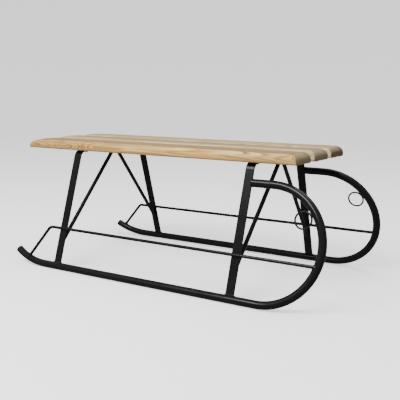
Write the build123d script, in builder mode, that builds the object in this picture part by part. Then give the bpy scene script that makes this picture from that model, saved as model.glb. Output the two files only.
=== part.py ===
"""Sledge-shaped seat: three wooden slats on a black steel frame whose runners curl up at the front.

Frame of reference, in millimetres: +X points forward (to the curls), +Y to the left, +Z up.
The origin is on the ground, at the centre of the whole object's footprint.

Each side frame lies in a plane that leans inwards. Its sketches use that plane directly:
x runs forward along the runner, and y runs up the lean, counted from the runner's axis.
The tails and rails are bent by hand, so the left side reaches a little further back than the right.
"""
import os
from math import cos, radians, sin, sqrt

from build123d import *

# ---------------------------------------------------------------- driving dimensions
overall_length = 1040

# Runners: round tube, straight on the ground, lifted at the tail and curled up at the front
tube_radius = 11
tube_wall = 2
half_gauge = 268            # from the middle of the object to a runner's axis
lean = 17.5                 # degrees, how far each side frame leans inwards
curl_radius = 154           # of the tube's axis, through half a turn
tail_radius = 240
tail_angle = 29             # degrees
tail_behind_leg = {"left": 62, "right": 50}     # from the rear bow to where the tail starts to lift

# Leg bows: flat bar, up from one runner, across under the slats and down to the other
rear_bow_x = -320
front_bow_x = 280
bar_width = 25
bar_thickness = 5
bar_edge_radius = 0.8
bar_bend_radius = 22.5

# Seat slats
seat_underside = 357
slat_length = 933
slat_width = 100
slat_thickness = 30
slat_gap = 24
slat_end_radius = 18
slat_edge_radius = 7
slat_lower_radius = 1.5

# Braces: round rods from low on the legs to the middle of the crossbar
brace_radius = 6
brace_foot_height = 72      # up the lean
brace_foot_forward = 2      # from the middle of the leg
brace_top_forward = 13      # from the middle of the crossbar
brace_top_offset = 8        # from the middle of the object, where the two rods just meet
brace_overrun = 20          # beyond both ends, before they are trimmed

# Side rails: round rods along the outer faces of the legs
rail_radius = 4.5
rail_height = 115           # up the lean
rail_bend_behind_leg = {"left": 64, "right": 50}
rail_foot_behind_leg = {"left": 158, "right": 117}
rail_bend_radius = 20

# Tow rings, each inside its curl
ring_radius = 22            # of the wire's axis
ring_wire_radius = 2.5
ring_angle = 37.5           # degrees above level, seen from the curl's centre

# Wood screws, driven up through the crossbars
screw_radius = 2.5
screw_length = 25
screw_tip_length = 5
screw_tip_taper = 24        # degrees
screw_head_radius = 5
screw_head_height = 3.5
screw_head_edge = 1.5
socket_radius = 1.75
socket_depth = 2
pilot_radius = 2.55
pilot_depth = 22
bar_hole_radius = 2.8
middle_screws = (-25, 25)   # distances from the object's centre line
outer_screws = (90, 126)

# Closures of the runner tubes
plug_cap_thickness = 3
plug_cap_edge = 1.6
plug_stem_radius = 8.3
plug_stem_length = 12
end_disc_thickness = 2

# ---------------------------------------------------------------- derived dimensions
half_length = overall_length / 2
seat_middle_x = slat_length / 2 - half_length
slat_pitch = slat_width + slat_gap
curl_x = half_length - tube_radius - curl_radius
upper_end_x = front_bow_x + bar_width / 2
lean_sin = sin(radians(lean))
lean_cos = cos(radians(lean))
crossbar_underside = seat_underside - bar_thickness
curl_inner_radius = curl_radius - tube_radius

SIDES = {"left": 1, "right": -1}
BOWS = {"rear": rear_bow_x, "front": front_bow_x}
SLATS = {
    "left": (slat_pitch, outer_screws),
    "middle": (0, middle_screws),
    "right": (-slat_pitch, tuple(-y for y in outer_screws)),
}


# ---------------------------------------------------------------- the leaning side frames
def side_point(side, x, up, outward=0):
    """Point of a side frame: x forward, up the lean from the runner's axis, and out of its plane."""
    y = half_gauge - up * lean_sin + outward * lean_cos
    z = tube_radius + up * lean_cos + outward * lean_sin
    return Vector(x, SIDES[side] * y, z)


def inward(side):
    """Direction square to a side frame, towards the space under the seat."""
    return Vector(0, -SIDES[side] * lean_cos, -lean_sin)


def side_plane(side, outward=0):
    normal = inward(side) * SIDES[side]
    return Plane(origin=side_point(side, 0, 0, outward), x_dir=(1, 0, 0), z_dir=normal)


def section_plane(path):
    """Plane square to a path at its start, facing along it."""
    return Plane(origin=path @ 0, z_dir=path % 0)


def save(builder, name):
    builder.part.label = name
    export_step(builder.part, f"parts/{name}.step")


# ---------------------------------------------------------------- runners and their closures
def runner_path(side, upper_end):
    """Axis of a runner tube, from the lifted tail along the ground and round the curl."""
    tail_x = rear_bow_x - tail_behind_leg[side]
    with BuildLine(side_plane(side)) as path:
        CenterArc((tail_x, tail_radius), tail_radius, -90 - tail_angle, tail_angle)
        Line((tail_x, 0), (curl_x, 0))
        CenterArc((curl_x, curl_radius), curl_radius, -90, 180)
        Line((curl_x, 2 * curl_radius), (upper_end, 2 * curl_radius))
    return path.wire()


def make_runner(side):
    path = runner_path(side, upper_end_x + end_disc_thickness)
    with BuildPart() as runner:
        with BuildSketch(section_plane(path)):
            Circle(tube_radius)
            Circle(tube_radius - tube_wall, mode=Mode.SUBTRACT)
        sweep(path=path)
    return runner


def make_tail_plug(side):
    """Domed cap with a stem that sits loosely in the tube's slightly curved bore."""
    into_tube = section_plane(runner_path(side, upper_end_x))
    with BuildPart() as plug:
        with BuildSketch(into_tube):
            Circle(tube_radius)
        extrude(amount=-plug_cap_thickness)
        outer_face = plug.faces().sort_by(Axis(into_tube.origin, into_tube.z_dir)).first
        fillet(outer_face.edges(), plug_cap_edge)
        with BuildSketch(into_tube):
            Circle(plug_stem_radius)
        extrude(amount=plug_stem_length)
    return plug


def make_end_disc(side):
    """Disc that closes the curl's upper end, between the tube and the edge of the front leg."""
    corner = side_point(side, upper_end_x, 2 * curl_radius)
    with BuildPart() as disc:
        with BuildSketch(Plane.YZ.offset(upper_end_x)):
            with Locations((corner.Y, corner.Z)):
                Circle(tube_radius)
        extrude(amount=end_disc_thickness)
    return disc


# ---------------------------------------------------------------- leg bows and braces
def make_bow(bow_x):
    crossbar_z = seat_underside - bar_thickness / 2
    corner_y = half_gauge - (crossbar_z - tube_radius) * lean_sin / lean_cos
    screw_ys = [y for _, ys in SLATS.values() for y in ys]
    with BuildLine(Plane.YZ.offset(bow_x)) as line:
        FilletPolyline(
            (-half_gauge, tube_radius),
            (-corner_y, crossbar_z),
            (corner_y, crossbar_z),
            (half_gauge, tube_radius),
            radius=bar_bend_radius,
        )
    path = line.wire()
    with BuildPart() as bow:
        with BuildSketch(Plane(origin=path @ 0, x_dir=(1, 0, 0), z_dir=path % 0)):
            RectangleRounded(bar_width, bar_thickness, bar_edge_radius)
        sweep(path=path)
        # Feet, hollowed to sit on the runners
        with BuildSketch(Plane.YZ.offset(bow_x - bar_width)):
            with Locations((-half_gauge, tube_radius), (half_gauge, tube_radius)):
                Circle(tube_radius)
        extrude(amount=2 * bar_width, mode=Mode.SUBTRACT)
        # Screw holes through the crossbar
        with BuildSketch(Plane.XY.offset(seat_underside)):
            with Locations(*[(bow_x, y) for y in screw_ys]):
                Circle(bar_hole_radius)
        extrude(amount=-bar_thickness, mode=Mode.SUBTRACT)
    return bow


def make_brace(side, bow_x):
    foot = side_point(side, bow_x + brace_foot_forward, brace_foot_height)
    top = Vector(bow_x + brace_top_forward, SIDES[side] * brace_top_offset, crossbar_underside)
    leg_inner_face = Plane(
        origin=side_point(side, bow_x, brace_foot_height, -bar_thickness / 2), z_dir=inward(side)
    )
    with BuildPart() as brace:
        with BuildSketch(Plane(origin=foot, z_dir=top - foot).offset(-brace_overrun)):
            Circle(brace_radius)
        extrude(amount=(top - foot).length + 2 * brace_overrun)
        split(bisect_by=leg_inner_face, keep=Keep.TOP)
        split(bisect_by=Plane.XY.offset(crossbar_underside), keep=Keep.BOTTOM)
    return brace


# ---------------------------------------------------------------- side rails and tow rings
def make_rail(side):
    """Rod along the legs' outer faces, bent down to the tail, its ends shaped to the runner tube."""
    foot_run = rail_foot_behind_leg[side] - tail_behind_leg[side]
    foot_up = tail_radius - sqrt(tail_radius**2 - foot_run**2)
    curl_chord = sqrt(curl_radius**2 - (curl_radius - rail_height) ** 2)
    with BuildLine(side_plane(side, bar_thickness / 2 + rail_radius)) as line:
        FilletPolyline(
            (rear_bow_x - rail_foot_behind_leg[side], foot_up),
            (rear_bow_x - rail_bend_behind_leg[side], rail_height),
            (curl_x + curl_chord, rail_height),
            radius=rail_bend_radius,
        )
    path = line.wire()
    tube_axis = runner_path(side, upper_end_x)
    with BuildPart() as rail:
        with BuildSketch(section_plane(path)):
            Circle(rail_radius)
        sweep(path=path)
        with BuildSketch(section_plane(tube_axis)):
            Circle(tube_radius)
        sweep(path=tube_axis, mode=Mode.SUBTRACT)
    return rail


def make_tow_ring(side):
    """Closed wire ring in the side frame's plane, touching the inside of the curl."""
    reach = curl_inner_radius - ring_radius - ring_wire_radius
    centre = side_point(
        side,
        curl_x + reach * cos(radians(ring_angle)),
        curl_radius + reach * sin(radians(ring_angle)),
    )
    with BuildPart() as ring:
        with BuildSketch(Plane(origin=centre, x_dir=(1, 0, 0), z_dir=side_plane(side).y_dir)):
            with Locations((ring_radius, 0)):
                Circle(ring_wire_radius)
        revolve(axis=Axis(centre, inward(side)))
    return ring


# ---------------------------------------------------------------- seat
def screw_places(screw_ys):
    return [(x, y) for x in BOWS.values() for y in screw_ys]


def make_slat(slat_y, screw_ys):
    """Board with well-rounded ends, rounded long edges and blind holes for its screws."""
    with BuildPart() as slat:
        with BuildSketch(Plane.XY.offset(seat_underside)):
            with Locations((seat_middle_x, slat_y)):
                Rectangle(slat_length, slat_width)
        extrude(amount=slat_thickness)
        top_face = slat.faces().sort_by(Axis.Z).last
        fillet(top_face.edges().filter_by(Axis.Y), slat_end_radius)
        side_faces = slat.faces().filter_by(Axis.Y)
        upper_edges = side_faces.edges().filter_by(
            lambda edge: edge.center().Z > seat_underside + slat_thickness / 2
        )
        fillet(upper_edges, slat_edge_radius)
        fillet(slat.faces().sort_by(Axis.Z).first.edges(), slat_lower_radius)
        with BuildSketch(Plane.XY.offset(seat_underside)):
            with Locations(*screw_places(screw_ys)):
                Circle(pilot_radius)
        extrude(amount=pilot_depth, mode=Mode.SUBTRACT)
    return slat


def make_screws(screw_ys):
    """The four screws of one slat: heads under the crossbars, points up in the wood."""
    places = screw_places(screw_ys)
    with BuildPart() as screws:
        with BuildSketch(Plane.XY.offset(crossbar_underside)):
            with Locations(*places):
                Circle(screw_head_radius)
        extrude(amount=-screw_head_height)
        fillet(screws.edges().group_by(Axis.Z)[0], screw_head_edge)
        with BuildSketch(Plane.XY.offset(crossbar_underside - screw_head_height)):
            with Locations(*places):
                RegularPolygon(socket_radius, 6)
        extrude(amount=socket_depth, mode=Mode.SUBTRACT)
        shank_length = screw_length - screw_tip_length
        with BuildSketch(Plane.XY.offset(crossbar_underside)):
            with Locations(*places):
                Circle(screw_radius)
        extrude(amount=shank_length)
        with BuildSketch(Plane.XY.offset(crossbar_underside + shank_length)):
            with Locations(*places):
                Circle(screw_radius)
        extrude(amount=screw_tip_length, taper=screw_tip_taper)
    return screws


# ---------------------------------------------------------------- the whole object
os.makedirs("parts", exist_ok=True)

for side in SIDES:
    save(make_runner(side), f"runner_{side}")
    save(make_tail_plug(side), f"tail_plug_{side}")
    save(make_end_disc(side), f"curl_end_disc_{side}")
    save(make_rail(side), f"side_rail_{side}")
    save(make_tow_ring(side), f"tow_ring_{side}")

for bow, bow_x in BOWS.items():
    save(make_bow(bow_x), f"{bow}_leg_bow")
    for side in SIDES:
        save(make_brace(side, bow_x), f"{bow}_brace_{side}")

for slat, (slat_y, screw_ys) in SLATS.items():
    save(make_slat(slat_y, screw_ys), f"seat_slat_{slat}")
    save(make_screws(screw_ys), f"slat_screws_{slat}")
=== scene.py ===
import random
from collections import namedtuple
from math import cos, pi, radians, sin, sqrt

import bmesh
import bpy
from mathutils import Matrix, Vector


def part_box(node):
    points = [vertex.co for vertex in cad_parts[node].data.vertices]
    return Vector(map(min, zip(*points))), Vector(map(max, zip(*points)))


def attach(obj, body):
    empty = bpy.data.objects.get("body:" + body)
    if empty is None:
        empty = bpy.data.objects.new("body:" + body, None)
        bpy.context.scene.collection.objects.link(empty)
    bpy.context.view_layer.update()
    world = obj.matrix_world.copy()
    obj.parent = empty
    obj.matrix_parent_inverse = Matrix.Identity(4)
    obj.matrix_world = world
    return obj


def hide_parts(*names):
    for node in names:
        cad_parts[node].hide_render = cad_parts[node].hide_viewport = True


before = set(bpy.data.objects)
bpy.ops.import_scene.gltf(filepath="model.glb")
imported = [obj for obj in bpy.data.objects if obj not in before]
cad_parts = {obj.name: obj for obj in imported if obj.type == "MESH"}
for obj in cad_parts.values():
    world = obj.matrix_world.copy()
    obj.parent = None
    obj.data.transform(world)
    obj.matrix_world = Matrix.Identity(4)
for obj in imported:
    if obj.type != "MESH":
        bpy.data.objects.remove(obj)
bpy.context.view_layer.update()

# ------------------------------------------------------------------ driving values, metres
# The steel frame: sections, the lean of its side frames, and where its parts meet
LEAN = radians(17.5)
HALF_GAUGE = 0.268
TUBE_RADIUS = 0.011
TAIL_RADIUS = 0.240
TAIL_BEHIND_LEG = {"left": 0.062, "right": 0.050}
CURL_X = 0.355
CURL_RADIUS = 0.154
BOWS = {"rear": -0.320, "front": 0.280}
BAR_WIDTH = 0.025
BAR_THICKNESS = 0.005
CROSSBAR_UNDERSIDE = 0.352
BRACE_RADIUS = 0.006
BRACE_FOOT = (0.002, 0.072)          # forward of the bow, and up the lean
BRACE_TOP = (0.013, 0.008)           # forward of the bow, and from the middle
RAIL_RADIUS = 0.0045
RAIL_HEIGHT = 0.115
RAIL_OUT = BAR_THICKNESS / 2 + RAIL_RADIUS
RAIL_BEND_BEHIND_LEG = {"left": 0.064, "right": 0.050}
RAIL_FOOT_BEHIND_LEG = {"left": 0.158, "right": 0.117}
RING_ANGLE = radians(37.5)
SIDES = {"left": 1, "right": -1}

# Weld beads: their radii by joint, their points' spacing, the length of one ripple, how much a ripple
# and chance change the radius, and how far a bead's line stands off the parts it joins
BEAD_RADII = {
    "leg_foot": 0.0017,
    "brace": 0.0014,
    "rail_leg": 0.0011,
    "rail_end": 0.0012,
    "curl_end": 0.0015,
    "tow_ring": 0.0014,
}
BEAD_STEP = 0.0006
BEAD_RIPPLE = 0.0022
BEAD_SWELL = 0.14
BEAD_CHANCE = 0.04
BEAD_SINK = 0.0004

# The slats' places and hand-rounded shape: (length, depth) of each end's rounding, the edges' radii,
# and how much the top is crowned and wavers
SLAT_PITCH = 0.124
RIGHT_FACE = -0.174
END_ROUNDS = {
    "right": {"rear": (0.060, 0.019), "front": (0.023, 0.019)},
    "middle": {"rear": (0.022, 0.017), "front": (0.024, 0.018)},
    "left": {"rear": (0.020, 0.016), "front": (0.023, 0.018)},
}
NEAR_EDGE_ROUND = 0.0090
FAR_EDGE_ROUND = 0.0065
LOWER_ROUND = 0.0045
CORNER_ROUND = 0.0025
CROWN = 0.0016
WAVER = 0.00025

# The wood: the width of one growth ring, and what describes a board's pattern
RING_WIDTH = 0.0021
# The pith's y and z at the x where it comes nearest, its bow across the board, and its rise along it
Pith = namedtuple("Pith", "y z nearest bow rise")
# Painted shade on the upper face, by distance across from the slat's middle: none before start, at its
# strength where it is full, and a third of that at the end
Shade = namedtuple("Shade", "start full end strength")
Knot = namedtuple("Knot", "x y z size darkness")
# A patch of colour fades out about half its length and half its height from its place
Patch = namedtuple("Patch", "x y z half_length half_height strength colour")

# Camera: its place, and its angles in radians
CAMERA_PLACE = Vector((1.0624, -1.6845, 0.5342))
CAMERA_YAW = -0.5521
CAMERA_PITCH = -0.1620
CAMERA_ROLL = 0.0096
FOCAL_RATIO = 652.2 / 400     # focal length over the image width


# ------------------------------------------------------------------ small helpers
def link(obj):
    bpy.context.collection.objects.link(obj)
    return obj


def smooth_mesh(name, bm, material):
    bmesh.ops.recalc_face_normals(bm, faces=bm.faces)
    mesh = bpy.data.meshes.new(name)
    bm.to_mesh(mesh)
    bm.free()
    mesh.polygons.foreach_set("use_smooth", [True] * len(mesh.polygons))
    mesh.materials.append(material)
    return link(bpy.data.objects.new(name, mesh))


def skin(bm, rows):
    """Faces between neighbouring rings of points."""
    for row, following in zip(rows, rows[1:]):
        for k in range(len(row)):
            m = (k + 1) % len(row)
            bm.faces.new((row[k], row[m], following[m], following[k]))


def piece(name, bm, material):
    """A smooth-shaded piece of the object, riding on the one body."""
    obj = smooth_mesh(name, bm, material)
    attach(obj, "root")
    return obj


class Nodes:
    """Short names for building one material's node tree."""

    def __init__(self, name):
        self.material = bpy.data.materials.new(name)
        self.material.use_nodes = True
        self.tree = self.material.node_tree
        self.shader = self.tree.nodes["Principled BSDF"]

    def put(self, value, socket):
        """Feed a socket from another one, or set its number or colour."""
        if hasattr(value, "is_output"):
            self.tree.links.new(value, socket)
        else:
            socket.default_value = value

    def finish(self, **inputs):
        """Set the shader's inputs and give the material."""
        for key, value in inputs.items():
            self.put(value, self.shader.inputs[key.replace("_", " ")])
        return self.material

    def node(self, kind, **inputs):
        made = self.tree.nodes.new(kind)
        for key, value in inputs.items():
            self.put(value, made.inputs[key.replace("_", " ")])
        return made

    def place(self):
        return self.node("ShaderNodeTexCoord").outputs["Object"]

    def math(self, operation, a, b=0.0, c=0.0):
        made = self.node("ShaderNodeMath")
        made.operation = operation
        for value, socket in zip((a, b, c), made.inputs):
            self.put(value, socket)
        return made.outputs[0]

    def vector(self, operation, a, b=(0, 0, 0)):
        made = self.node("ShaderNodeVectorMath")
        made.operation = operation
        self.put(a, made.inputs[0])
        self.put(b, made.inputs["Scale" if operation == "SCALE" else 1])
        return made.outputs["Value" if operation == "LENGTH" else "Vector"]

    def noise(self, place, scale, detail=2.0, roughness=0.5, out="Fac"):
        """Noise of the same scale in every direction, or of one scale along each axis."""
        if isinstance(scale, tuple):
            place, scale = self.vector("MULTIPLY", place, scale), 1.0
        made = self.node(
            "ShaderNodeTexNoise", Vector=place, Scale=scale, Detail=detail, Roughness=roughness
        )
        return made.outputs[out]

    def step(self, value, low, high, to_low=0.0, to_high=1.0):
        """Smooth change from to_low to to_high as value goes from low to high."""
        made = self.node("ShaderNodeMapRange")
        made.interpolation_type = "SMOOTHSTEP"
        for number, socket in zip((value, low, high, to_low, to_high), made.inputs):
            self.put(number, socket)
        return made.outputs["Result"]

    def mix(self, factor, a, b):
        made = self.node("ShaderNodeMix")
        made.data_type = "RGBA"
        colours = [socket for socket in made.inputs if socket.type == "RGBA"]
        self.put(factor, made.inputs["Factor"])
        self.put(a, colours[0])
        self.put(b, colours[1])
        return next(socket for socket in made.outputs if socket.type == "RGBA")

    def bump(self, height, distance, strength=1.0):
        return self.node("ShaderNodeBump", Height=height, Distance=distance, Strength=strength).outputs[0]


def rgb(red, green, blue):
    return (red, green, blue, 1.0)


# ------------------------------------------------------------------ materials
def black_steel():
    """Black enamel on steel: faint orange peel, a little dust, and handling marks in the gloss."""
    n = Nodes("black_steel")
    place = n.place()
    peel = n.noise(place, 420.0, detail=1.0)
    smears = n.noise(place, 22.0, detail=4.0)
    specks = n.step(n.noise(place, 900.0, detail=0.0), 0.70, 0.78, 0.0, 0.10)
    tone = n.mix(smears, rgb(0.0045, 0.0045, 0.005), rgb(0.0075, 0.0075, 0.0078))
    tone = n.mix(specks, tone, rgb(0.05, 0.05, 0.05))
    return n.finish(
        Base_Color=tone,
        Roughness=n.step(smears, 0.35, 0.70, 0.16, 0.25),
        Specular_IOR_Level=0.20,
        Normal=n.bump(peel, 0.00006, 0.6),
    )


def growth_rings(n, place, shifted, pith, knots):
    """Ring count, and how near to a knot's heart, at each point of a board that was cut along X."""
    # The rings wander slowly along the board, and waver at a finer scale
    wander = n.noise(shifted, (1.7, 8.0, 8.0), 2.0, out="Color")
    wander = n.vector("SCALE", n.vector("SUBTRACT", wander, (0.5, 0.5, 0.5)), 0.012)
    waver = n.noise(shifted, (12.0, 60.0, 60.0), 2.0)
    along, across, up = n.node("ShaderNodeSeparateXYZ", Vector=n.vector("ADD", place, wander)).outputs
    run = n.math("SUBTRACT", along, pith.nearest)
    pith_y = n.math("MULTIPLY_ADD", n.math("MULTIPLY", run, run), pith.bow, pith.y)
    dy = n.math("SUBTRACT", across, pith_y)
    dz = n.math("SUBTRACT", up, n.math("MULTIPLY_ADD", run, pith.rise, pith.z))
    distance = n.math("SQRT", n.math("ADD", n.math("MULTIPLY", dy, dy), n.math("MULTIPLY", dz, dz)))
    # Each knot pushes the rings apart
    heart = 0.0
    for knot in knots:
        offset = n.vector("SUBTRACT", place, (knot.x, knot.y, knot.z))
        squeeze = (0.5 / knot.size, 1 / knot.size, 1 / knot.size)
        far = n.vector("LENGTH", n.vector("MULTIPLY", offset, squeeze))
        push = n.math("EXPONENT", n.math("MULTIPLY", n.math("MULTIPLY", far, far), -0.35))
        distance = n.math("MULTIPLY_ADD", push, knot.size * 0.55, distance)
        heart = n.math("MAXIMUM", heart, n.step(far, 0.25, 1.0, knot.darkness, 0.0))
    return n.math("MULTIPLY_ADD", waver, 0.7, n.math("DIVIDE", distance, RING_WIDTH)), heart


def late_wood(n, rings):
    """Each ring darkens slowly and ends sharply, and no two are equally dark."""
    phase = n.math("FRACT", rings)
    late = n.math("MULTIPLY", n.step(phase, 0.25, 0.82), n.step(phase, 0.86, 1.0, 1.0, 0.0))
    which = n.node("ShaderNodeCombineXYZ", X=n.math("FLOOR", rings)).outputs[0]
    return n.math("MULTIPLY", late, n.step(n.noise(which, 0.71, 0.0), 0.25, 0.75, 0.6, 1.0))


def add_patches(n, tone, place, blotch, patches):
    """Patches of another colour, with uneven edges; some of them are painted shade."""
    for patch in patches:
        offset = n.vector("SUBTRACT", place, (patch.x, patch.y, patch.z))
        squeeze = (1 / patch.half_length, 1 / patch.half_height, 1 / patch.half_height)
        far = n.vector("LENGTH", n.vector("MULTIPLY", offset, squeeze))
        reach = n.math("MULTIPLY_ADD", blotch, 0.8, far)
        tone = n.mix(n.step(reach, 0.55, 1.5, patch.strength, 0.0), tone, patch.colour)
    return tone


def upper_face(n, tone, shifted, narrow, along, aside, shade):
    """Weathered wood: greyer towards the front, with dark streaks, and painted shade across the top away
    from its near edge.
    """
    weathered = n.mix(n.step(along, -0.45, 0.40), rgb(0.46, 0.315, 0.135), rgb(0.45, 0.335, 0.185))
    tone = n.mix(0.64, tone, weathered)
    broad = n.noise(shifted, (1.4, 42.0, 20.0), 3.0)
    tone = n.mix(n.step(broad, 0.42, 0.58, 0.0, 0.50), tone, rgb(0.24, 0.155, 0.090))
    tone = n.mix(n.step(narrow, 0.46, 0.64, 0.0, 0.40), tone, rgb(0.24, 0.145, 0.080))
    # Painted shade: the top darkens with distance across from its near edge, as if it turned from the light
    rising = n.step(aside, shade.start, shade.full)
    fading = n.step(aside, shade.full, shade.end, shade.strength, shade.strength * 0.35)
    return n.mix(n.math("MULTIPLY", rising, fading), tone, rgb(0.17, 0.112, 0.060))


def sawn_ends(n, tone, shifted, late, facing, aside, light, dark):
    """The ends over the other tones: olive brown, darker where upright and with painted shade near their
    left corner.
    """
    mottle = n.noise(shifted, (160.0, 110.0, 160.0), 3.0, 0.6)
    darker = n.math("MULTIPLY_ADD", late, 0.6, n.step(mottle, 0.45, 0.65, 0.0, 0.4))
    tone = n.mix(n.step(facing, 0.20, 0.75, 0.0, 0.88), tone, n.mix(darker, light, dark))
    # Darker still where an end stands upright: partly the end grain's own tone, partly painted shade
    # against its rounding, which faces more to the light
    tone = n.mix(n.step(facing, 0.90, 0.99, 0.0, 0.75), tone, dark)
    # Painted shade near the left corner of each end, where the rounded corner turns from the light
    corner = n.math("MULTIPLY", n.step(aside, 0.005, 0.040), n.step(facing, 0.12, 0.60, 0.0, 0.70))
    return n.mix(corner, tone, dark)


def wood(name, seed, middle_y, light, dark, end_light, end_dark, pith, shade, knots, patches=()):
    """Softwood: rings round a bowed pith, bent round each knot, under fibres, streaks and patches."""
    n = Nodes(name)
    place = n.place()
    shifted = n.vector("ADD", place, (seed, seed * 0.7, seed * 1.3))
    rings, heart = growth_rings(n, place, shifted, pith, knots)
    late = late_wood(n, rings)

    # Noise drawn out along the grain, from the finest to the coarsest
    fibre = n.noise(shifted, (9.0, 900.0, 900.0), 2.0, 0.6)
    narrow = n.noise(shifted, (5.0, 190.0, 190.0), 3.0, 0.6)
    streak = n.noise(shifted, (1.5, 50.0, 50.0), 3.0)
    blotch = n.noise(shifted, (7.0, 26.0, 26.0), 2.0)

    red, green, blue = light[:3]
    tone = n.mix(late, light, dark)
    tone = n.mix(n.step(streak, 0.40, 0.66, 0.0, 0.45), tone, rgb(*(c * 0.75 for c in dark[:3])))
    tone = n.mix(n.step(blotch, 0.50, 0.70, 0.0, 0.55), tone, rgb(red * 0.80, green * 0.62, blue * 0.5))
    tone = n.mix(n.step(narrow, 0.42, 0.60, 0.0, 0.75), tone, rgb(red * 0.48, green * 0.38, blue * 0.38))
    tone = add_patches(n, tone, place, blotch, patches)
    tone = n.mix(n.step(fibre, 0.35, 0.75, 0.0, 0.28), tone, rgb(0.22, 0.15, 0.08))
    tone = n.mix(heart, tone, rgb(0.22, 0.085, 0.018))

    forward, _, upward = n.node(
        "ShaderNodeSeparateXYZ", Vector=n.node("ShaderNodeNewGeometry").outputs["Normal"]
    ).outputs
    along, y, _ = n.node("ShaderNodeSeparateXYZ", Vector=place).outputs
    aside = n.math("SUBTRACT", y, middle_y)
    upper = upper_face(n, tone, shifted, narrow, along, aside, shade)
    tone = n.mix(n.step(upward, 0.72, 0.985, 0.0, 0.88), tone, upper)
    facing = n.math("ABSOLUTE", forward)
    tone = sawn_ends(n, tone, shifted, late, facing, aside, end_light, end_dark)

    relief = n.math("MULTIPLY_ADD", late, 0.6, n.math("MULTIPLY", fibre, 0.4))
    return n.finish(
        Base_Color=tone,
        Roughness=n.step(late, 0.0, 1.0, 0.64, 0.50),
        Specular_IOR_Level=0.3,
        Normal=n.bump(relief, 0.0004, 0.8),
    )


def zinc():
    """Zinc-plated steel of the screws, with fine cloudy marks."""
    n = Nodes("zinc")
    cloud = n.noise(n.place(), 300.0, detail=4.0)
    return n.finish(
        Base_Color=n.mix(cloud, rgb(0.36, 0.37, 0.39), rgb(0.62, 0.63, 0.65)),
        Metallic=1.0,
        Roughness=n.step(cloud, 0.3, 0.7, 0.28, 0.45),
        Normal=n.bump(cloud, 0.00003),
    )


def plug_plastic():
    """Matt black moulded plastic with a fine grain."""
    n = Nodes("plug_plastic")
    place = n.place()
    wear = n.noise(place, 60.0, detail=3.0)
    return n.finish(
        Base_Color=n.mix(wear, rgb(0.008, 0.008, 0.009), rgb(0.018, 0.018, 0.018)),
        Roughness=n.step(wear, 0.3, 0.7, 0.45, 0.62),
        Specular_IOR_Level=0.3,
        Normal=n.bump(n.noise(place, 1600.0), 0.00004),
    )


def dress_cad_nodes(steel):
    """Materials for the CAD nodes that are shown as they are."""
    finishes = {"tail_plug": plug_plastic(), "slat_screws": zinc()}
    for name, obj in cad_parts.items():
        finish = next((made for start, made in finishes.items() if name.startswith(start)), steel)
        obj.data.materials.clear()
        obj.data.materials.append(finish)


# ------------------------------------------------------------------ weld beads
def side_point(side, x, up, outward=0.0):
    """Point of a leaning side frame: x forward, up the lean from the runner's axis, and outward."""
    y = HALF_GAUGE - up * sin(LEAN) + outward * cos(LEAN)
    return Vector((x, SIDES[side] * y, TUBE_RADIUS + up * cos(LEAN) + outward * sin(LEAN)))


def side_measures(side, point):
    """How far a point is up the lean from the runner's axis, and out of the side frame's plane."""
    y = SIDES[side] * point.y - HALF_GAUGE
    z = point.z - TUBE_RADIUS
    return z * cos(LEAN) - y * sin(LEAN), z * sin(LEAN) + y * cos(LEAN)


def inward(side):
    """Direction into the object, square to the side frame's plane."""
    return Vector((0, -SIDES[side] * cos(LEAN), -sin(LEAN)))


def even(points, closed):
    """The same line with its points one bead step apart."""
    line = points + points[:1] if closed else points
    lengths = [(b - a).length for a, b in zip(line, line[1:])]
    count = max(4, round(sum(lengths) / BEAD_STEP))
    spots, i, passed = [], 0, 0.0
    for k in range(count if closed else count + 1):
        wanted = sum(lengths) * k / count
        while i < len(lengths) - 1 and passed + lengths[i] < wanted:
            passed += lengths[i]
            i += 1
        share = (wanted - passed) / lengths[i] if lengths[i] else 0.0
        spots.append(line[i].lerp(line[i + 1], min(1.0, share)))
    return spots


def add_bead(bm, points, radius, closed, rng):
    """A rippled weld bead along a line."""
    points = even(points, closed)
    count, sides = len(points), 10
    start = rng.uniform(0, 2 * pi)
    rows, across = [], None
    for i, point in enumerate(points):
        before = points[i - 1] if closed or i else point
        after = points[(i + 1) % count] if closed or i + 1 < count else point
        along = (after - before).normalized()
        across = along.orthogonal() if across is None else across - along * across.dot(along)
        across.normalize()
        other = along.cross(across)
        ripple = sin(i * BEAD_STEP / BEAD_RIPPLE * 2 * pi + start)
        size = radius * (1 + BEAD_SWELL * ripple + rng.uniform(-BEAD_CHANCE, BEAD_CHANCE))
        if not closed:
            # An open bead tapers at its ends
            size *= sqrt(min(1.0, 0.1 + min(i, count - 1 - i) * 0.25))
        turns = [2 * pi * k / sides for k in range(sides)]
        rows.append([bm.verts.new(point + (across * cos(t) + other * sin(t)) * size) for t in turns])
    skin(bm, rows)
    if closed:
        close_ring(bm, rows[-1], rows[0])
    else:
        bm.faces.new(list(reversed(rows[0])))
        bm.faces.new(rows[-1])


def close_ring(bm, row, following):
    """Faces from a bead's last ring of points to its first, which may be turned against it."""
    sides = len(row)
    shift = min(range(sides), key=lambda k: (following[k].co - row[0].co).length)
    for k in range(sides):
        m = k + 1
        bm.faces.new((
            row[k], row[m % sides], following[(m + shift) % sides], following[(k + shift) % sides]
        ))


def leg_foot_line(side, bow_x):
    """Round the foot of a leg, on top of the runner tube."""
    half_x, half_out = BAR_WIDTH / 2 + BEAD_SINK, BAR_THICKNESS / 2 + BEAD_SINK
    corners = [(-half_x, -half_out), (half_x, -half_out), (half_x, half_out), (-half_x, half_out)]
    return [
        side_point(side, bow_x + x, sqrt(TUBE_RADIUS**2 - out**2) + BEAD_SINK, out) for x, out in corners
    ]


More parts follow.
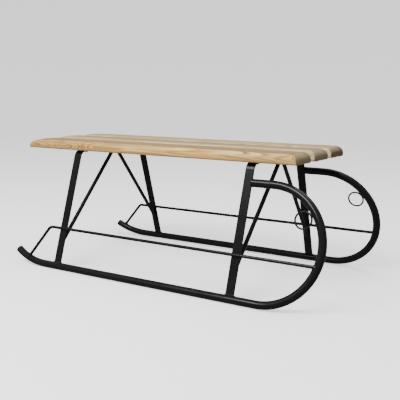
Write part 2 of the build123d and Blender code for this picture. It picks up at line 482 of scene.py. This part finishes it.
def rod_end_line(start, along, radius, reach):
    """Round the end of a rod; reach says how far on each line of the rod's surface meets the other part."""
    along = along.normalized()
    across = along.orthogonal().normalized()
    other = along.cross(across)
    turns = [2 * pi * k / 36 for k in range(36)]
    edges = [start + (across * cos(t) + other * sin(t)) * (radius + BEAD_SINK) for t in turns]
    return [edge + along * reach(edge, along) for edge in edges]


def to_plane(origin, normal):
    return lambda point, along: (origin - point).dot(normal) / along.dot(normal)


def to_tube(side, centre_x, arc_radius):
    """Reach to the surface of a runner tube where it is bent on an arc."""
    def gap(point):
        up, outward = side_measures(side, point)
        radial = sqrt((point.x - centre_x) ** 2 + (up - arc_radius) ** 2) - arc_radius
        return sqrt(radial**2 + outward**2) - TUBE_RADIUS

    def reach(point, along):
        # From 24 mm behind the point to nearly 12 mm ahead of it
        steps = [k * 0.0002 for k in range(-120, 60)]
        touching = [s for s in steps if gap(point + along * s) < BEAD_SINK]
        return touching[0] if touching else min(steps, key=lambda s: gap(point + along * s))

    return reach


def leg_welds(side, name, bow_x):
    """A leg's foot, both ends of its brace, and the rail along its outer face."""
    yield f"leg_foot_{name}", "leg_foot", [leg_foot_line(side, bow_x)], True

    foot = side_point(side, bow_x + BRACE_FOOT[0], BRACE_FOOT[1])
    top = Vector((bow_x + BRACE_TOP[0], SIDES[side] * BRACE_TOP[1], CROSSBAR_UNDERSIDE))
    inner_face = side_point(side, bow_x, BRACE_FOOT[1], -BAR_THICKNESS / 2)
    on_leg = rod_end_line(foot, foot - top, BRACE_RADIUS, to_plane(inner_face, inward(side)))
    on_bar = rod_end_line(top, top - foot, BRACE_RADIUS, to_plane(top, Vector((0, 0, 1))))
    yield f"brace_{name}", "brace", [on_leg, on_bar], True

    half_length, beside, outward = 0.010, 0.0028, BAR_THICKNESS / 2 + 0.0005
    lines = [
        [side_point(side, bow_x + x, RAIL_HEIGHT + up, outward) for x in (-half_length, half_length)]
        for up in (-beside, beside)
    ]
    yield f"rail_leg_{name}", "rail_leg", lines, False


def rail_end_welds(side):
    """The rail's foot on the tail, and its front end on the inside of the curl."""
    rear_x = BOWS["rear"]
    foot_run = RAIL_FOOT_BEHIND_LEG[side] - TAIL_BEHIND_LEG[side]
    tail_rise = TAIL_RADIUS - sqrt(TAIL_RADIUS**2 - foot_run**2)
    foot = side_point(side, rear_x - RAIL_FOOT_BEHIND_LEG[side], tail_rise, RAIL_OUT)
    bend = side_point(side, rear_x - RAIL_BEND_BEHIND_LEG[side], RAIL_HEIGHT, RAIL_OUT)
    tail = to_tube(side, rear_x - TAIL_BEHIND_LEG[side], TAIL_RADIUS)
    yield "rail_tail", "rail_end", [rod_end_line(foot, foot - bend, RAIL_RADIUS, tail)], True

    half_chord = sqrt(CURL_RADIUS**2 - (CURL_RADIUS - RAIL_HEIGHT) ** 2)
    end = side_point(side, CURL_X + half_chord, RAIL_HEIGHT, RAIL_OUT)
    curl = to_tube(side, CURL_X, CURL_RADIUS)
    yield "rail_curl", "rail_end", [rod_end_line(end, Vector((1, 0, 0)), RAIL_RADIUS, curl)], True


def curl_end_lines(side):
    """Where the curl's upper end meets the front leg's edge, on each side of the flat bar."""
    edge_x = BOWS["front"] + BAR_WIDTH / 2 + 0.0004
    outward = BAR_THICKNESS / 2 + 0.0003
    heights = [2 * CURL_RADIUS + up for up in (-0.0095, -0.005, 0.0, 0.005, 0.0095)]
    return [[side_point(side, edge_x, up, out) for up in heights] for out in (-outward, outward)]


def tow_ring_lines(side):
    """Two short lines where the tow ring touches the inside of the curl."""
    touch, half_angle, outward = CURL_RADIUS - TUBE_RADIUS, 0.035, 0.0016
    turns = [RING_ANGLE - half_angle, RING_ANGLE, RING_ANGLE + half_angle]
    return [
        [side_point(side, CURL_X + touch * cos(t), CURL_RADIUS + touch * sin(t), out) for t in turns]
        for out in (-outward, outward)
    ]


def side_welds(side):
    """(name, kind of joint, lines, closed) for each joint of one side frame."""
    for name, bow_x in BOWS.items():
        yield from leg_welds(side, name, bow_x)
    yield "curl_end", "curl_end", curl_end_lines(side), False
    yield from rail_end_welds(side)
    yield "tow_ring", "tow_ring", tow_ring_lines(side), False


def make_welds(steel):
    rng = random.Random(5)
    for side in SIDES:
        for name, kind, lines, closed in side_welds(side):
            bm = bmesh.new()
            for line in lines:
                add_bead(bm, line, BEAD_RADII[kind], closed, rng)
            piece(f"weld_{name}_{side}", bm, steel)


# ------------------------------------------------------------------ slats
def rounded_drop(depth, length, height):
    """How far an elliptical rounding has fallen at a depth inside it."""
    short = max(0.0, 1 - depth / length)
    return height * (1 - sqrt(max(0.0, 1 - short * short)))


def slat_stations(length, rear, front):
    """Places along a slat, close together in the rounded ends."""
    count, inner = 12, 72
    near = [rear * (1 - cos(pi / 2 * i / count)) for i in range(count + 1)]
    far = [length - front * (1 - cos(pi / 2 * i / count)) for i in reversed(range(count + 1))]
    middle = [rear + (length - rear - front) * i / inner for i in range(1, inner)]
    return near + middle + far


def half_outline(half, height, edge):
    """Half-section from near the middle of the underside to near the middle of the top: (y, z) pairs."""
    points = [(half * share, 0.0) for share in (0.35, 0.7)]
    for i in range(5):
        turn = pi / 2 * i / 4
        points.append((half - LOWER_ROUND * (1 - sin(turn)), LOWER_ROUND * (1 - cos(turn))))
    points += [(half, LOWER_ROUND + (height - edge - LOWER_ROUND) * share) for share in (0.33, 0.67)]
    for i in range(9):
        turn = pi / 2 * i / 8
        points.append((half - edge * (1 - cos(turn)), height - edge * (1 - sin(turn))))
    inner = half - edge
    return points + [(inner * share, height) for share in (0.88, 0.72, 0.54, 0.36, 0.18)]


def section(half, height, wobble):
    """Closed outline of a slat: its near half from below to above, and its far half back down."""
    room = height - LOWER_ROUND - 0.0005
    near = half_outline(half, height, min(NEAR_EDGE_ROUND * wobble, room))
    far = half_outline(half, height, min(FAR_EDGE_ROUND * wobble, room))
    outline = [(0.0, 0.0)] + [(-y, z) for y, z in near] + [(0.0, height)]
    return outline + list(reversed(far))


def make_slat(side, seed, material):
    """A hand-shaped slat that stands for its CAD solid."""
    low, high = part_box(f"seat_slat_{side}")
    length, width, thickness = high - low
    middle_y = (low.y + high.y) / 2
    rounds = END_ROUNDS[side]
    rng = random.Random(seed)
    waves = [(rng.uniform(2, 9), rng.uniform(0, 2 * pi)) for _ in range(4)]
    bm = bmesh.new()
    rows = []
    for station in slat_stations(length, rounds["rear"][0], rounds["front"][0]):
        drop = max(rounded_drop(station, *rounds["rear"]), rounded_drop(length - station, *rounds["front"]))
        height = thickness - drop
        half = width / 2 - rounded_drop(min(station, length - station), CORNER_ROUND, CORNER_ROUND)
        sway = sum(sin(rate * station * 2 * pi + phase) for rate, phase in waves) / len(waves)
        row = []
        for y, z in section(half, height, 1 + 0.10 * sway):
            fall = (CROWN * (2 * y / width) ** 2 + WAVER * (1 + sway)) * z / height
            row.append(bm.verts.new((low.x + station, middle_y + y, low.z + z - fall)))
        rows.append(row)
    skin(bm, rows)
    bm.faces.new(rows[0])
    bm.faces.new(list(reversed(rows[-1])))
    slat = piece(f"slat_{side}", bm, material)
    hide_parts(f"seat_slat_{side}")


def right_wood():
    """Golden board with strong grain, whose outer side and knot are the most seen part of the seat."""
    face = RIGHT_FACE
    return wood(
        "wood_right", 3.1, -SLAT_PITCH,
        light=rgb(0.88, 0.58, 0.180), dark=rgb(0.13, 0.065, 0.020),
        end_light=rgb(0.32, 0.26, 0.155), end_dark=rgb(0.235, 0.190, 0.095),
        pith=Pith(y=-0.153, z=0.3705, nearest=-0.03, bow=-0.045, rise=0.004),
        shade=Shade(start=-0.053, full=-0.040, end=0.050, strength=0.78),
        knots=[Knot(-0.294, face, 0.3695, 0.010, 0.60), Knot(-0.385, face, 0.380, 0.008, 0.25)],
        patches=[
            Patch(-0.385, face, 0.380, 0.045, 0.006, 0.60, rgb(0.33, 0.17, 0.05)),
            Patch(-0.240, -0.169, 0.380, 0.280, 0.009, 0.60, rgb(0.48, 0.27, 0.08)),
            Patch(-0.080, face, 0.377, 0.110, 0.005, 0.40, rgb(0.92, 0.66, 0.30)),
            Patch(0.065, face, 0.380, 0.035, 0.007, 0.80, rgb(0.86, 0.62, 0.13)),
            Patch(0.230, face, 0.375, 0.130, 0.006, 0.60, rgb(0.98, 0.75, 0.38)),
            Patch(0.145, face, 0.368, 0.050, 0.009, 0.60, rgb(0.62, 0.30, 0.07)),
            Patch(0.228, face, 0.377, 0.010, 0.003, 0.70, rgb(1.0, 0.92, 0.66)),
            # Painted shade along the lower edge of the outer side, where it turns down from the light
            Patch(-0.050, face, 0.359, 0.550, 0.008, 0.85, rgb(0.37, 0.200, 0.062)),
            # More painted shade along the lower edge, towards the front
            Patch(0.320, face, 0.360, 0.100, 0.006, 0.60, rgb(0.34, 0.19, 0.07)),
            Patch(-0.490, -0.150, 0.386, 0.045, 0.030, 0.60, rgb(0.34, 0.29, 0.13)),
        ],
    )


def middle_wood(cream, tan):
    return wood(
        "wood_middle", 7.7, 0.0,
        light=cream, dark=tan,
        end_light=rgb(0.27, 0.225, 0.145), end_dark=rgb(0.21, 0.168, 0.100),
        pith=Pith(y=0.030, z=0.345, nearest=0.05, bow=0.08, rise=0.012),
        shade=Shade(start=-0.036, full=-0.005, end=0.150, strength=0.62),
        knots=[Knot(0.22, 0.012, 0.386, 0.010, 0.4)],
    )


def left_wood(cream, tan):
    return wood(
        "wood_left", 12.4, SLAT_PITCH,
        light=cream, dark=tan,
        end_light=rgb(0.26, 0.21, 0.135), end_dark=rgb(0.110, 0.058, 0.018),
        pith=Pith(y=0.095, z=0.340, nearest=-0.1, bow=0.08, rise=-0.012),
        shade=Shade(start=-0.030, full=0.030, end=0.150, strength=0.28),
        knots=[Knot(-0.16, 0.135, 0.386, 0.012, 0.4)],
    )


def make_slats():
    cream, tan = rgb(0.90, 0.74, 0.37), rgb(0.32, 0.23, 0.11)
    make_slat("right", 1, right_wood())
    make_slat("middle", 2, middle_wood(cream, tan))
    make_slat("left", 3, left_wood(cream, tan))


# ------------------------------------------------------------------ camera, light and floor
def make_camera():
    data = bpy.data.cameras.new("camera")
    data.sensor_width = 36
    data.lens = FOCAL_RATIO * data.sensor_width
    camera = link(bpy.data.objects.new("camera", data))
    forward = Vector((
        sin(CAMERA_YAW) * cos(CAMERA_PITCH),
        cos(CAMERA_YAW) * cos(CAMERA_PITCH),
        sin(CAMERA_PITCH),
    ))
    level_right = forward.cross(Vector((0, 0, 1))).normalized()
    level_up = level_right.cross(forward)
    right = level_right * cos(CAMERA_ROLL) + level_up * sin(CAMERA_ROLL)
    up = level_up * cos(CAMERA_ROLL) - level_right * sin(CAMERA_ROLL)
    axes = Matrix((right, up, -forward)).transposed()
    camera.matrix_world = Matrix.Translation(CAMERA_PLACE) @ axes.to_4x4()
    bpy.context.scene.camera = camera


def softbox(name, azimuth, elevation, distance, size, power, colour=(1, 1, 1), reflects=True):
    """Soft light aimed at the seat. Azimuth is from -Y towards +X, both angles in degrees."""
    target = Vector((0, 0, 0.25))
    a, e = radians(azimuth), radians(elevation)
    data = bpy.data.lights.new(name, "AREA")
    data.shape = "RECTANGLE"
    data.size, data.size_y = size
    data.energy = power
    data.color = colour
    light = link(bpy.data.objects.new(name, data))
    light.location = target + Vector((sin(a) * cos(e), -cos(a) * cos(e), sin(e))) * distance
    light.rotation_mode = "QUATERNION"
    light.rotation_quaternion = (target - light.location).to_track_quat("-Z", "Y")
    light.visible_glossy = reflects


def make_light():
    softbox("key", -8, 46, 3.2, (2.0, 1.3), 148)
    softbox("front", -8, 14, 3.2, (2.0, 1.0), 34, reflects=False)
    softbox("top", 150, 72, 3.2, (2.4, 1.6), 45)
    softbox("fill", -34, 28, 3.4, (1.3, 0.7), 6, (0.86, 0.93, 1.0))


def make_world():
    """Even surroundings, a little brighter above than below."""
    world = bpy.data.worlds.new("studio")
    world.use_nodes = True
    tree = world.node_tree
    way = tree.nodes.new("ShaderNodeSeparateXYZ")
    tree.links.new(tree.nodes.new("ShaderNodeTexCoord").outputs["Generated"], way.inputs[0])
    ramp = tree.nodes.new("ShaderNodeMapRange")
    ramp.interpolation_type = "SMOOTHSTEP"
    tree.links.new(way.outputs["Z"], ramp.inputs["Value"])
    for name, value in (("From Min", -0.2), ("From Max", 0.9), ("To Min", 0.34), ("To Max", 0.55)):
        ramp.inputs[name].default_value = value
    background = tree.nodes["Background"]
    background.inputs["Color"].default_value = (1, 1, 1, 1)
    tree.links.new(ramp.outputs["Result"], background.inputs["Strength"])
    bpy.context.scene.world = world


def make_floor():
    """Pale round floor that sweeps up into a backdrop on every side, and glows a little."""
    n = Nodes("floor")
    material = n.finish(
        Base_Color=rgb(0.85, 0.85, 0.85),
        Roughness=0.9,
        Specular_IOR_Level=0.0,
        Emission_Color=rgb(1, 1, 1),
        Emission_Strength=0.85,
    )
    flat, bend, wall = 7.0, 4.0, 8.0
    around, steps = 96, 20
    profile = [(1.0, 0.0), (3.0, 0.0), (flat, 0.0)]
    for i in range(1, steps + 1):
        turn = pi / 2 * i / steps
        profile.append((flat + bend * sin(turn), bend * (1 - cos(turn))))
    profile.append((flat + bend, bend + wall))
    bm = bmesh.new()
    middle = bm.verts.new((0, 0, 0))
    turns = [2 * pi * k / around for k in range(around)]
    rows = [[bm.verts.new((r * cos(t), r * sin(t), z)) for t in turns] for r, z in profile]
    for k in range(around):
        bm.faces.new((middle, rows[0][(k + 1) % around], rows[0][k]))
    skin(bm, rows)
    floor = smooth_mesh("floor", bm, material)
    floor.visible_diffuse = False
    floor.visible_glossy = False
    floor.visible_shadow = False


# ------------------------------------------------------------------ the scene
enamel = black_steel()
dress_cad_nodes(enamel)
make_welds(enamel)
make_slats()
make_camera()
make_light()
make_world()
make_floor()
